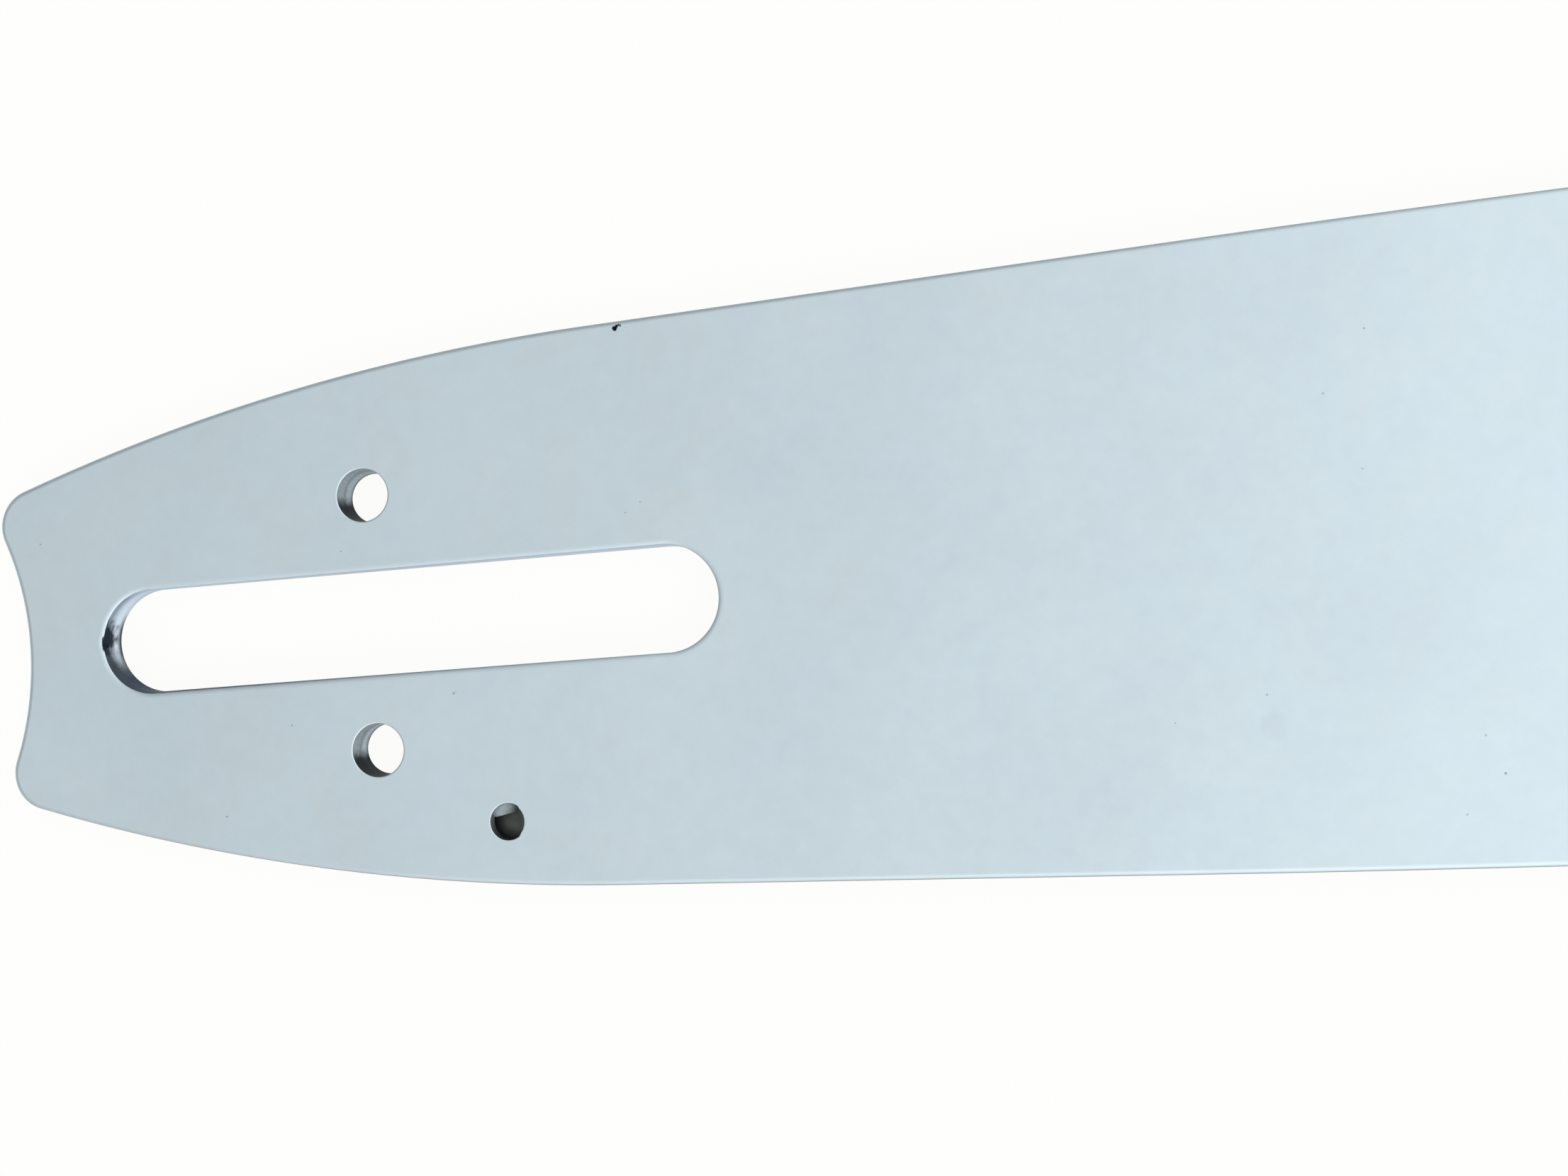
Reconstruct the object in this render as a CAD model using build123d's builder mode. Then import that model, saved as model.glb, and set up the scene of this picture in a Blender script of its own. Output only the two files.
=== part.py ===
from build123d import *
import math
import os

os.makedirs("parts", exist_ok=True)

# Frame: the bar lies flat. X runs from the tail to the nose, Y across the bar, Z up.
# The origin is the middle of the stud slot, on the lower face. Sizes are in millimetres.

# Laminations: two side plates with a thinner core between them, which sets the chain groove's width.
groove_width = 1.6
side_plate_thickness = 1.55
groove_depth = 7.4
core_bottom = side_plate_thickness
core_top = core_bottom + groove_width
bar_thickness = core_top + side_plate_thickness
edge_break = 0.4
rim_break = 0.15

# Outline of the side plates, upper half. The lower half is its mirror image.
overall_length = 783.0
tail_corner_x = -49.5
tail_arc_x = -81.8
tail_arc_radius = 35.2
tail_corner_radius = 4.4
core_corner_radius = 2.0
flank_radius = 250.0
taper_start_x = 24.0
taper_start_half_width = 31.67
taper_angle = 2.07
taper_end_x = 87.0
belly_radius = 3470.0
nose_radius = 28.0
nose_tip_x = tail_corner_x + overall_length
nose_x = nose_tip_x - nose_radius
tail_hollow_x = tail_arc_x + tail_arc_radius
blank_end_x = -60.0

# Tail openings: the slot for the bar studs, two holes for the tensioner pin, one oil hole a side plate.
slot_length = 74.4
slot_width = 12.2
pin_hole_x = -3.76
pin_hole_y = 14.73
pin_hole_radius = 3.06
oil_hole_x = 11.18
oil_hole_y = 23.81
oil_hole_radius = 2.09

# Oil pocket: a slanted bite in the core's edge under each oil hole, which lets the oil run into the groove.
oil_pocket_edge_y = 22.92
oil_pocket_slope = 11.0
oil_pocket_back = 2.8
oil_pocket_front = 6.2
oil_pocket_rise = 4.0

# Nose sprocket, driven round by the chain's drive links.
sprocket_teeth = 11
sprocket_tip_radius = 30.8
sprocket_side_clearance = 0.06
sprocket_core_clearance = 1.0
tooth_tip_rounding = 0.6
gullet_radius = 5.2
gullet_centre_radius = 29.2
gullet_flank_angle = 35.0
sprocket_thickness = groove_width - 2 * sprocket_side_clearance
sprocket_bottom = core_bottom + sprocket_side_clearance

# Roller bearing: loose rollers between the sprocket's bore and the race that the rivets hold.
roller_count = 20
roller_radius = 1.5
roller_pitch_radius = 10.0
roller_running_clearance = 0.03
roller_end_clearance = 0.05
roller_length = groove_width - 2 * roller_end_clearance
sprocket_bore_radius = roller_pitch_radius + roller_radius + roller_running_clearance
race_radius = roller_pitch_radius - roller_radius - roller_running_clearance

# Nose rivets: flush countersunk heads on both faces.
rivet_count = 4
rivet_circle_radius = 4.6
rivet_radius = 1.6
rivet_head_radius = 2.2
rivet_hole_clearance = 0.02
rivet_head_sink = 0.05
rivet_hole_radius = rivet_radius + rivet_hole_clearance
rivet_sink_radius = rivet_head_radius + rivet_hole_clearance

# Points where the outline's stretches meet, each found from the stretch before it.
taper_rad = math.radians(taper_angle)
taper_run = taper_end_x - taper_start_x
taper_start = (taper_start_x, taper_start_half_width)
taper_end = (taper_end_x, taper_start_half_width + taper_run * math.tan(taper_rad))
flank_centre_x = taper_start_x + flank_radius * math.sin(taper_rad)
flank_centre_y = taper_start_half_width - flank_radius * math.cos(taper_rad)
blank_end_y = flank_centre_y + math.sqrt(flank_radius**2 - (blank_end_x - flank_centre_x) ** 2)
belly_x = taper_end_x + belly_radius * math.sin(taper_rad)
belly_y = taper_end[1] + belly_radius * (1 - math.cos(taper_rad))

# The front rail is one long arc, level at the belly and running smoothly into the nose arc.
front_run = nose_x - belly_x
front_radius = (front_run**2 + belly_y**2 - nose_radius**2) / (2 * (belly_y - nose_radius))
front_centre_y = belly_y - front_radius
front_reach = front_radius / (front_radius - nose_radius)
nose_start_x = belly_x + front_run * front_reach
nose_start_y = front_centre_y - front_centre_y * front_reach

# Blank of the bar, before the tail is cut hollow.
with BuildSketch() as bar_blank:
    with BuildLine():
        taper = Line(taper_start, taper_end)
        TangentArc(taper_start, (blank_end_x, blank_end_y), tangent=-(taper % 0))
        TangentArc(taper_end, (belly_x, belly_y), tangent=taper % 1)
        front = TangentArc((belly_x, belly_y), (nose_start_x, nose_start_y), tangent=(1, 0))
        TangentArc((nose_start_x, nose_start_y), (nose_tip_x, 0), tangent=front % 1)
        mirror(about=Plane.XZ)
        Line((blank_end_x, blank_end_y), (blank_end_x, -blank_end_y))
    make_face()

# Outline of a side plate, with the hollow tail that clears the saw's drive sprocket.
with BuildSketch() as plate_outline:
    add(bar_blank.sketch)
    with Locations((tail_arc_x, 0)):
        Circle(tail_arc_radius, mode=Mode.SUBTRACT)
    plate_corners = plate_outline.vertices().filter_by_position(Axis.X, blank_end_x, tail_hollow_x)
    fillet(plate_corners, radius=tail_corner_radius)

# The two oil pockets: a long edge that slants in towards the nose and a short one that comes straight back out.
pocket_slant = math.tan(math.radians(oil_pocket_slope))
pocket_back = (oil_hole_x - oil_pocket_back, oil_pocket_edge_y + oil_pocket_back * pocket_slant)
pocket_floor = (oil_hole_x + oil_pocket_front, oil_pocket_edge_y - oil_pocket_front * pocket_slant)
pocket_front = (pocket_floor[0] + oil_pocket_rise, pocket_floor[1] + oil_pocket_rise)
with BuildSketch() as oil_pockets:
    with BuildLine():
        Polyline(pocket_back, pocket_floor, pocket_front, (pocket_back[0], pocket_front[1]), close=True)
    make_face()
    mirror(about=Plane.XZ)

# Outline of the core: the blank drawn in by the groove's depth, with the oil pockets, hollow at the tail like
# the side plates and hollow at the nose round the sprocket.
with BuildSketch() as core_outline:
    add(bar_blank.sketch)
    offset(amount=-groove_depth, mode=Mode.REPLACE)
    add(oil_pockets.sketch, mode=Mode.SUBTRACT)
    with Locations((tail_arc_x, 0)):
        Circle(tail_arc_radius, mode=Mode.SUBTRACT)
    with Locations((nose_x, 0)):
        Circle(sprocket_tip_radius + sprocket_core_clearance, mode=Mode.SUBTRACT)
    core_corners = core_outline.vertices().filter_by_position(Axis.X, blank_end_x, tail_hollow_x)
    fillet(core_corners, radius=core_corner_radius)

# Openings that pass through all three laminations.
with BuildSketch() as tail_openings:
    SlotOverall(slot_length, slot_width)
    with Locations((pin_hole_x, pin_hole_y), (pin_hole_x, -pin_hole_y)):
        Circle(pin_hole_radius)

# Upper side plate: sheet with its outer edges and rims broken, and countersunk rivet holes.
with BuildPart() as upper_side_plate:
    with BuildSketch(Plane.XY.offset(core_top)):
        add(plate_outline.sketch)
        add(tail_openings.sketch, mode=Mode.SUBTRACT)
        with Locations((oil_hole_x, -oil_hole_y)):
            Circle(oil_hole_radius, mode=Mode.SUBTRACT)
    extrude(amount=side_plate_thickness)
    outer_face = upper_side_plate.faces().sort_by(Axis.Z)[-1]
    rim_edges = outer_face.inner_wires().edges()
    chamfer(outer_face.outer_wire().edges(), length=edge_break)
    chamfer(rim_edges, length=rim_break)
    with Locations((nose_x, 0, bar_thickness)):
        with PolarLocations(rivet_circle_radius, rivet_count):
            CounterSinkHole(radius=rivet_hole_radius, counter_sink_radius=rivet_sink_radius, counter_sink_angle=90)
upper_side_plate.part.label = "upper_side_plate"
export_step(upper_side_plate.part, "parts/upper_side_plate.step")

# Lower side plate: the same plate turned over about the bar's long axis, so its oil hole is at the other rail.
with BuildPart() as lower_side_plate:
    with Locations(Location((0, 0, bar_thickness), (180, 0, 0))):
        add(upper_side_plate.part)
lower_side_plate.part.label = "lower_side_plate"
export_step(lower_side_plate.part, "parts/lower_side_plate.step")

# Core plate: fills the middle of the bar and leaves the chain groove open along both rails.
with BuildPart() as core_plate:
    with BuildSketch(Plane.XY.offset(core_bottom)):
        add(core_outline.sketch)
        add(tail_openings.sketch, mode=Mode.SUBTRACT)
    extrude(amount=groove_width)
core_plate.part.label = "core_plate"
export_step(core_plate.part, "parts/core_plate.step")

# One gullet between two sprocket teeth: a round floor with straight flanks that open outwards.
flank_rad = math.radians(gullet_flank_angle)
gullet_inner_x = -gullet_radius * math.sin(flank_rad)
gullet_inner_y = gullet_radius * math.cos(flank_rad)
gullet_outer_x = sprocket_tip_radius - gullet_centre_radius + gullet_radius
gullet_outer_y = gullet_inner_y + (gullet_outer_x - gullet_inner_x) * math.tan(flank_rad)
with BuildSketch() as gullet:
    with BuildLine():
        Line((gullet_outer_x, -gullet_outer_y), (gullet_inner_x, -gullet_inner_y))
        ThreePointArc((gullet_inner_x, -gullet_inner_y), (-gullet_radius, 0), (gullet_inner_x, gullet_inner_y))
        Line((gullet_inner_x, gullet_inner_y), (gullet_outer_x, gullet_outer_y))
        Line((gullet_outer_x, gullet_outer_y), (gullet_outer_x, -gullet_outer_y))
    make_face()

# Nose sprocket: a toothed ring that turns in the groove, a little thinner than the core.
with BuildPart() as nose_sprocket:
    with BuildSketch(Plane.XY.offset(sprocket_bottom)):
        with Locations((nose_x, 0)):
            Circle(sprocket_tip_radius)
            with PolarLocations(gullet_centre_radius, sprocket_teeth):
                add(gullet.sketch, mode=Mode.SUBTRACT)
            Circle(sprocket_bore_radius, mode=Mode.SUBTRACT)
    extrude(amount=sprocket_thickness)
    upright_edges = nose_sprocket.edges().filter_by(Axis.Z)
    tip_edges = upright_edges.filter_by(
        lambda edge: math.hypot(edge.center().X - nose_x, edge.center().Y) > sprocket_tip_radius - 0.1
    )
    fillet(tip_edges, radius=tooth_tip_rounding)
nose_sprocket.part.label = "nose_sprocket"
export_step(nose_sprocket.part, "parts/nose_sprocket.step")

# Bearing race: the disc that the rollers run on, clamped between the side plates by the rivets.
with BuildPart() as bearing_race:
    with BuildSketch(Plane.XY.offset(core_bottom)):
        with Locations((nose_x, 0)):
            Circle(race_radius)
            with PolarLocations(rivet_circle_radius, rivet_count):
                Circle(rivet_hole_radius, mode=Mode.SUBTRACT)
    extrude(amount=groove_width)
bearing_race.part.label = "bearing_race"
export_step(bearing_race.part, "parts/bearing_race.step")

# Bearing rollers: loose cylinders that fill the space between the race and the sprocket's bore.
for roller_number in range(roller_count):
    roller_name = f"roller_{roller_number + 1:02d}"
    roller_angle = math.radians(360 * roller_number / roller_count)
    roller_x = nose_x + roller_pitch_radius * math.cos(roller_angle)
    roller_y = roller_pitch_radius * math.sin(roller_angle)
    with BuildPart() as roller:
        with BuildSketch(Plane.XY.offset(core_bottom + roller_end_clearance)):
            with Locations((roller_x, roller_y)):
                Circle(roller_radius)
        extrude(amount=roller_length)
    roller.part.label = roller_name
    export_step(roller.part, f"parts/{roller_name}.step")

# One nose rivet: a turned pin with a cone at both ends, its heads a little below the faces.
rivet_low = rivet_head_sink
rivet_high = bar_thickness - rivet_head_sink
head_face_radius = rivet_head_radius - rivet_head_sink
cone_height = head_face_radius - rivet_radius
with BuildPart() as rivet:
    with BuildSketch(Plane.XZ):
        with BuildLine():
            Polyline(
                (0, rivet_low),
                (head_face_radius, rivet_low),
                (rivet_radius, rivet_low + cone_height),
                (rivet_radius, rivet_high - cone_height),
                (head_face_radius, rivet_high),
                (0, rivet_high),
                close=True,
            )
        make_face()
    revolve(axis=Axis.Z)

# Nose rivets: they hold the two side plates and the race together.
with BuildPart() as nose_rivets:
    with Locations((nose_x, 0)):
        with PolarLocations(rivet_circle_radius, rivet_count):
            add(rivet.part)
nose_rivets.part.label = "nose_rivets"
export_step(nose_rivets.part, "parts/nose_rivets.step")
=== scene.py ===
# %% [markdown]
# # A chainsaw guide bar
# A guide bar is the long flat blade that a saw chain runs round. This one is laminated: two satin steel side plates
# are welded to a thinner core, and the gap that the core leaves along the edge is the groove for the chain. A
# toothed sprocket turns in the nose. The CAD frame already holds all the pieces in their places. This lesson gives
# them fine edges, steel surfaces and studio light.

# %% Load the CAD frame
import math

import bmesh
import bpy
from mathutils import Matrix, Vector


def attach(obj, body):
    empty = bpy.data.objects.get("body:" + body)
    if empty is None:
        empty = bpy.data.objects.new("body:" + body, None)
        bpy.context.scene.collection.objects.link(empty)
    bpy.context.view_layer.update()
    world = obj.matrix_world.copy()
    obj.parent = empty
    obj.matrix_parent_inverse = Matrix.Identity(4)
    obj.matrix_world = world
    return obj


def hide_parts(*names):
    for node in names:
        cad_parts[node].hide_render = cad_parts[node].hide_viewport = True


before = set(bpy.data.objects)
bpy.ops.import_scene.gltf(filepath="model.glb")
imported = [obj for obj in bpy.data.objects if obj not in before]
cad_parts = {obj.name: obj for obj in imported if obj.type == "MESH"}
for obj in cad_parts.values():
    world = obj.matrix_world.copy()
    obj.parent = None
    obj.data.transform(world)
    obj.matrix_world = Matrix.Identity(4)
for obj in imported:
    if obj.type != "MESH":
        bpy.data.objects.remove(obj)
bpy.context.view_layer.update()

# %% [markdown]
# ## Two small helpers
# Colours are written as the sRGB hex values that a colour picker shows, and Blender's sockets want linear light, so
# one function converts them. Shaders are built from nodes, and a second function adds any node with its settings
# and links, which keeps every material below to a short list of what it is made of.

# %% Colour and node helpers
def linear(hex_colour):
    """Turn an sRGB hex colour into the linear RGBA that Blender's sockets take."""
    channels = [int(hex_colour[i:i + 2], 16) / 255 for i in (1, 3, 5)]
    lit = [c / 12.92 if c <= 0.04045 else ((c + 0.055) / 1.055) ** 2.4 for c in channels]
    return (*lit, 1.0)


def add_node(tree, kind, inputs=None, **settings):
    """Add a node, set its properties, and fill or link its inputs by name or number."""
    node = tree.nodes.new(kind)
    for name, value in settings.items():
        setattr(node, name, value)
    for key, value in (inputs or {}).items():
        if isinstance(value, bpy.types.NodeSocket):
            tree.links.new(value, node.inputs[key])
        else:
            node.inputs[key].default_value = value
    return node


print("steel grey in linear light:", [round(c, 3) for c in linear("#c6d4db")])

# %% [markdown]
# ## The bar's outline
# The outline is drawn as on a cutting drawing: one half is a chain of arcs and one straight run, each tangent to
# the next, and the other half is its mirror image. A spun vertex leaves such an arc behind it. All arcs keep their
# centres when the outline is drawn a little further in, so the same function draws the loops of a rolled edge too.
# Sizes are in millimetres until a piece is finished.

# %% Outline sizes and arc centres
plate = 1.55
groove = 1.6
groove_depth = 7.4
thickness = 2 * plate + groove
tail = Vector((-81.8, 0.0))
tail_radius = 35.2
flank_radius = 250.0
taper_start = Vector((24.0, 31.67))
taper_angle = math.radians(2.07)
taper_run = 63.0
belly_radius = 3470.0
nose = Vector((705.5, 0.0))
nose_radius = 28.0
sprocket_radius = 30.8

taper = Vector((taper_run, taper_run * math.tan(taper_angle)))
flank = taper_start + flank_radius * Vector((math.sin(taper_angle), -math.cos(taper_angle)))
belly_top = taper_start + taper + belly_radius * Vector((math.sin(taper_angle), 1 - math.cos(taper_angle)))
belly = belly_top - Vector((0, belly_radius))
front_run = nose.x - belly_top.x
front_radius = (front_run ** 2 + belly_top.y ** 2 - nose_radius ** 2) / (2 * (belly_top.y - nose_radius))
front = belly_top - Vector((0, front_radius))
print(f"widest at x {belly_top.x:.1f} mm, {2 * belly_top.y:.1f} mm across; front radius {front_radius / 1000:.1f} m")

# %% [markdown]
# `sweep` spins a vertex about a centre and gives back the one at the end of its arc, `straight` draws a run, and
# `mirrored` adds the other half of what was drawn. Where two arcs meet, or a round corner touches both, the point
# is where two circles cross.

# %% Arcs, runs and crossings
def sweep(bm, vert, centre, turn, steps):
    swept = bmesh.ops.spin(bm, geom=[vert], cent=(centre.x, centre.y, 0), axis=(0, 0, 1), angle=turn, steps=steps)
    return next(item for item in swept["geom_last"] if isinstance(item, bmesh.types.BMVert))


def straight(bm, vert, run):
    moved = bmesh.ops.extrude_vert_indiv(bm, verts=[vert])["verts"]
    bmesh.ops.translate(bm, verts=moved, vec=(run.x, run.y, 0))
    return moved[0]


def mirrored(bm, drawn_before):
    half = [edge for edge in bm.edges if edge not in drawn_before]
    ends = {vert for edge in half for vert in edge.verts}
    bmesh.ops.mirror(bm, geom=list(ends) + half, matrix=Matrix.Identity(4), merge_dist=0.05, axis="Y")
    return [edge for edge in bm.edges if edge not in drawn_before]


def crossing(centre_a, radius_a, centre_b, radius_b):
    """The higher of the two points where two circles cross."""
    across = centre_b - centre_a
    span = across.length
    along = (radius_a ** 2 - radius_b ** 2 + span ** 2) / (2 * span)
    height = math.sqrt(radius_a ** 2 - along ** 2)
    foot = centre_a + across * (along / span)
    side = Vector((-across.y, across.x)) * (height / span)
    return max(foot + side, foot - side, key=lambda point: point.y)


def bearing(centre, point):
    """The direction from a centre to a point, as an angle from the X axis."""
    return math.atan2(point.y - centre.y, point.x - centre.x)


corner_point = crossing(tail, tail_radius, flank, flank_radius)
print(f"tail arc and rail meet at x {corner_point.x:.2f}, y {corner_point.y:.2f} mm before the corner is rounded")

# %% [markdown]
# The side plates and the core share this outline. The core is drawn in by the groove's depth, has a smaller tail
# corner and an oil pocket in each edge, and ends in a hollow round the sprocket where the side plates have the
# round nose. The number of steps follows the length and the curve of each stretch, so that no facet can be seen.

# %% Outline of a lamination
def lamination(drawn_in, corner_radius, hollow_radius=None, pocket=()):
    rail_radius = flank_radius - drawn_in
    corner = crossing(tail, tail_radius + corner_radius, flank, rail_radius - corner_radius)
    tail_turn = bearing(tail, corner)
    corner_turn = bearing(flank, corner) - (tail_turn + math.pi)
    if hollow_radius:
        nose_edge = crossing(front, front_radius - drawn_in, nose, hollow_radius)
        front_end = bearing(front, nose_edge)
        nose_turn = math.pi - bearing(nose, nose_edge)
    else:
        front_end = bearing(front, nose)
        nose_turn = -front_end

    def draw(bm, inset, z):
        drawn_before = set(bm.edges)
        vert = bmesh.ops.create_vert(bm, co=(tail.x + tail_radius + inset, 0, z))["vert"][0]
        vert = sweep(bm, vert, tail, tail_turn, 24)
        vert = sweep(bm, vert, corner, corner_turn, 28)
        heading = bearing(flank, corner)
        if pocket:
            vert = sweep(bm, vert, flank, bearing(flank, pocket[0]) - heading, 40)
            for start, end in zip(pocket, pocket[1:]):
                vert = straight(bm, vert, end - start)
            heading = bearing(flank, pocket[-1])
        vert = sweep(bm, vert, flank, math.pi / 2 + taper_angle - heading, 60)
        vert = straight(bm, vert, taper)
        vert = sweep(bm, vert, belly, -taper_angle, 32)
        vert = sweep(bm, vert, front, front_end - math.pi / 2, 64)
        sweep(bm, vert, nose, nose_turn, 56)
        return mirrored(bm, drawn_before)
    return draw


def core_edge(x):
    return Vector((x, flank.y + math.sqrt((flank_radius - groove_depth) ** 2 - (x - flank.x) ** 2)))


plate_corner, core_corner, sprocket_room = 4.4, 2.0, 1.0
pocket_start, pocket_deepest, pocket_end = 9.37, Vector((17.38, 21.71)), 19.73
plate_outline = lamination(0, plate_corner)
oil_pocket = [core_edge(pocket_start), pocket_deepest, core_edge(pocket_end)]
core_outline = lamination(groove_depth, core_corner, sprocket_radius + sprocket_room, oil_pocket)
trial = bmesh.new()
plate_outline(trial, 0, 0)
core_outline(trial, 0, 0)
open_ends = [vert for vert in trial.verts if len(vert.link_edges) != 2]
print("edges round plate and core:", len(trial.edges), "open ends:", len(open_ends))
trial.free()

# %% [markdown]
# ## Holes
# The tail has a long slot for the saw's two bar studs, a hole on each side of it for the chain tensioner's pin, and
# one small oil hole near a rail. Each is a circle; the slot is a circle whose two halves are moved apart. Each
# opening is a function that draws its loop, drawn out by an inset as the outline is drawn in. The pin holes narrow
# a little from the upper plate to the far face, so their loops also depend on the height they are drawn at.

# %% Loops of the slot and the round holes
slot_length, slot_width = 74.4, 12.2
pin_x, pin_y, pin_radius, pin_taper = -3.76, 14.73, 3.06, 0.15
oil_place, oil_radius = Vector((11.18, -23.81)), 2.09
rivet_ring, rivet_hole_radius = 4.6, 1.62
inner_height = plate + groove


def loop_edges(verts):
    return list({edge for vert in verts for edge in vert.link_edges})


def round_hole(x, y, radius, segments=96):
    def draw(bm, inset, z):
        place = Matrix.Translation((x, y, z))
        return loop_edges(bmesh.ops.create_circle(bm, segments=segments, radius=radius + inset,
                                                  matrix=place)["verts"])
    return draw


def stud_slot(bm, inset, z, length=slot_length, segments=160):
    place = Matrix.Translation((0, 0, z)) @ Matrix.Rotation(math.pi / segments, 4, "Z")
    verts = bmesh.ops.create_circle(bm, segments=segments, radius=slot_width / 2 + inset, matrix=place)["verts"]
    half_run = (length - slot_width) / 2
    for way in (1, -1):
        end = [vert for vert in verts if vert.co.x * way > 0]
        bmesh.ops.translate(bm, verts=end, vec=(way * half_run, 0, 0))
    return loop_edges(verts)


def pin_hole(y, turned_over=False):
    def draw(bm, inset, z):
        height = thickness - z if turned_over else z
        narrowing = pin_taper * max(0, 1 - height / inner_height)
        return round_hole(pin_x - narrowing, y, pin_radius - narrowing)(bm, inset, z)
    return draw


pin_holes = [pin_hole(y) for y in (pin_y, -pin_y)]
far_pin_holes = [pin_hole(y, turned_over=True) for y in (pin_y, -pin_y)]
oil_hole = round_hole(*oil_place, oil_radius, segments=72)
rivet_places = [(nose.x + rivet_ring * x, rivet_ring * y) for x, y in ((1, 0), (0, 1), (-1, 0), (0, -1))]
print("round holes in a side plate:", len(pin_holes) + 1 + len(rivet_places))

# %% [markdown]
# ## Sheet with rolled edges
# A plate punched from sheet is its outline and its holes carried through its thickness. The punch draws the face
# down a little before it cuts, so every outer edge is rolled: the face leans over along a shallow arc and ends in a
# small round corner. That lean is what shows as a light or dark line along the edges. `skin` draws one loop several
# times at different depths and bridges each loop to the next, and `rolled_wall` lists those depths. A hairline
# bevel at the inner edge shows as the joint between laminations. `finish_piece` keeps every edge of more than 40
# degrees crisp, so that a wall's shading doesn't run over into the face beside it.

# %% Walls and faces of a sheet
def rolled_wall(width, lean, corner, hairline=0.0, steps=8):
    """Insets and heights from the inner edge up the wall and over the rolled edge on to the face."""
    support = 0.02
    radius = width / math.sin(lean)
    roll_z = thickness - radius * (1 - math.cos(lean))
    rings = [(hairline, inner_height)]
    if hairline:
        rings += [(0, inner_height + hairline), (0, inner_height + hairline + support)]
    rings.append((0, roll_z - corner * math.cos(lean) - support))
    for step in range(steps // 2):
        angle = math.pi / 2 - (math.pi / 2 - lean) * step / (steps // 2)
        rings.append((corner * (1 - math.sin(angle)), roll_z - corner * (math.cos(lean) - math.cos(angle))))
    corner_width = corner * (1 - math.sin(lean))
    for step in range(steps + 1):
        angle = lean * (1 - step / steps)
        rings.append((corner_width + width - radius * math.sin(angle), thickness - radius * (1 - math.cos(angle))))
    return rings


def skin(bm, draw, rings):
    loops = [draw(bm, inset, z) for inset, z in rings]
    faces = []
    for below, above in zip(loops, loops[1:]):
        faces += bmesh.ops.bridge_loops(bm, edges=below + above)["faces"]
    for face in faces:
        face.normal_update()
        face.smooth = True
    return loops[0], loops[-1], faces


def close_face(bm, loops, up):
    edges = [edge for loop in loops for edge in loop]
    filled = bmesh.ops.triangle_fill(bm, use_beauty=True, edges=edges, normal=(0, 0, up))
    return [item for item in filled["geom"] if isinstance(item, bmesh.types.BMFace)]


def finish_piece(bm, name, body, slot, *nodes):
    """Turn a bmesh drawn in millimetres into a piece in metres that rides on a body."""
    crisp, metre = math.radians(40), 0.001
    bmesh.ops.recalc_face_normals(bm, faces=bm.faces)
    for edge in bm.edges:
        edge.smooth = edge.calc_face_angle(0) < crisp
    bmesh.ops.scale(bm, vec=(metre, metre, metre), verts=bm.verts)
    mesh = bpy.data.meshes.new(name)
    bm.to_mesh(mesh)
    bm.free()
    piece = bpy.data.objects.new(name, mesh)
    bpy.context.scene.collection.objects.link(piece)
    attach(piece, body)
    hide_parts(*nodes)
    print(f"{name}: {len(mesh.polygons)} faces")
    return piece


# %% [markdown]
# ## Side plates
# The upper and the lower plate are the same plate, one of them turned over, which is why the bar can be reversed on
# the saw. A plate carries five finishes: the satin face with its rolled edges, the ground rail that the chain
# slides on, the walls of the slot, the walls of the round holes, and the oily inner face, darkened partly by painted
# shade, that makes one side of the groove. Each gets its own material slot, chosen by which loop a wall belongs to
# and how steep it is. The roll is widest along the slot and the rails, and finest at the oil hole.

# %% One side plate
satin_slot, rail_slot, slot_wall_slot, hole_wall_slot, inner_slot = range(5)
head_depth = 0.6
steep = 0.75


def side_plate(slot_loop, pins):
    bm = bmesh.new()
    rail_edge = rolled_wall(width=0.55, lean=math.radians(35), corner=0.25, hairline=0.03)
    slot_edge = rolled_wall(width=0.6, lean=math.radians(30), corner=0.08)
    pin_edge = rolled_wall(width=0.2, lean=math.radians(30), corner=0.08, hairline=0.02)
    oil_edge = rolled_wall(width=0.12, lean=math.radians(30), corner=0.08, hairline=0.02)
    sunk = [(0, inner_height), (0, thickness - head_depth), (head_depth, thickness)]
    walls = [(plate_outline, rail_edge, rail_slot), (slot_loop, slot_edge, slot_wall_slot)]
    walls += [(hole, pin_edge, hole_wall_slot) for hole in pins] + [(oil_hole, oil_edge, hole_wall_slot)]
    walls += [(round_hole(x, y, rivet_hole_radius, segments=48), sunk, hole_wall_slot) for x, y in rivet_places]
    lows, highs = [], []
    for draw, rings, slot in walls:
        low, high, faces = skin(bm, draw, rings)
        lows.append(low)
        highs.append(high)
        for face in faces:
            face.material_index = slot if abs(face.normal.z) < steep else satin_slot
    close_face(bm, highs, 1)
    for face in close_face(bm, lows, -1):
        face.material_index = inner_slot
    return bm


# %% [markdown]
# The punch leaned a hair when it cut the upper plate's slot. On the face the slot sits a seventh of a millimetre
# nearer the nose, a little turned and a tenth shorter, and on the inner side it meets the core's slot. At the tail
# end its rim has a small nick, where the cut was started. A few of the rim's vertices are pulled outwards for it,
# most at the middle. The oil hole's rim is pressed in a little at the nose's side. The lower plate is a plain one,
# turned half round about the bar's long axis.

# %% Leaning slot with a nick, and both plates
above_joint = inner_height + 0.1


def leaning_slot(bm, inset, z):
    shorter, shift, turn, nose_end = 0.1, 0.14, math.radians(0.19), (31, 0, 0)
    share = (z - inner_height) / plate
    edges = stud_slot(bm, inset, z, length=slot_length - shorter * share)
    verts = list({vert for edge in edges for vert in edge.verts})
    bmesh.ops.rotate(bm, verts=verts, cent=nose_end, matrix=Matrix.Rotation(turn * share, 3, "Z"))
    bmesh.ops.translate(bm, verts=verts, vec=(shift * share, 0, 0))
    return edges


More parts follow.
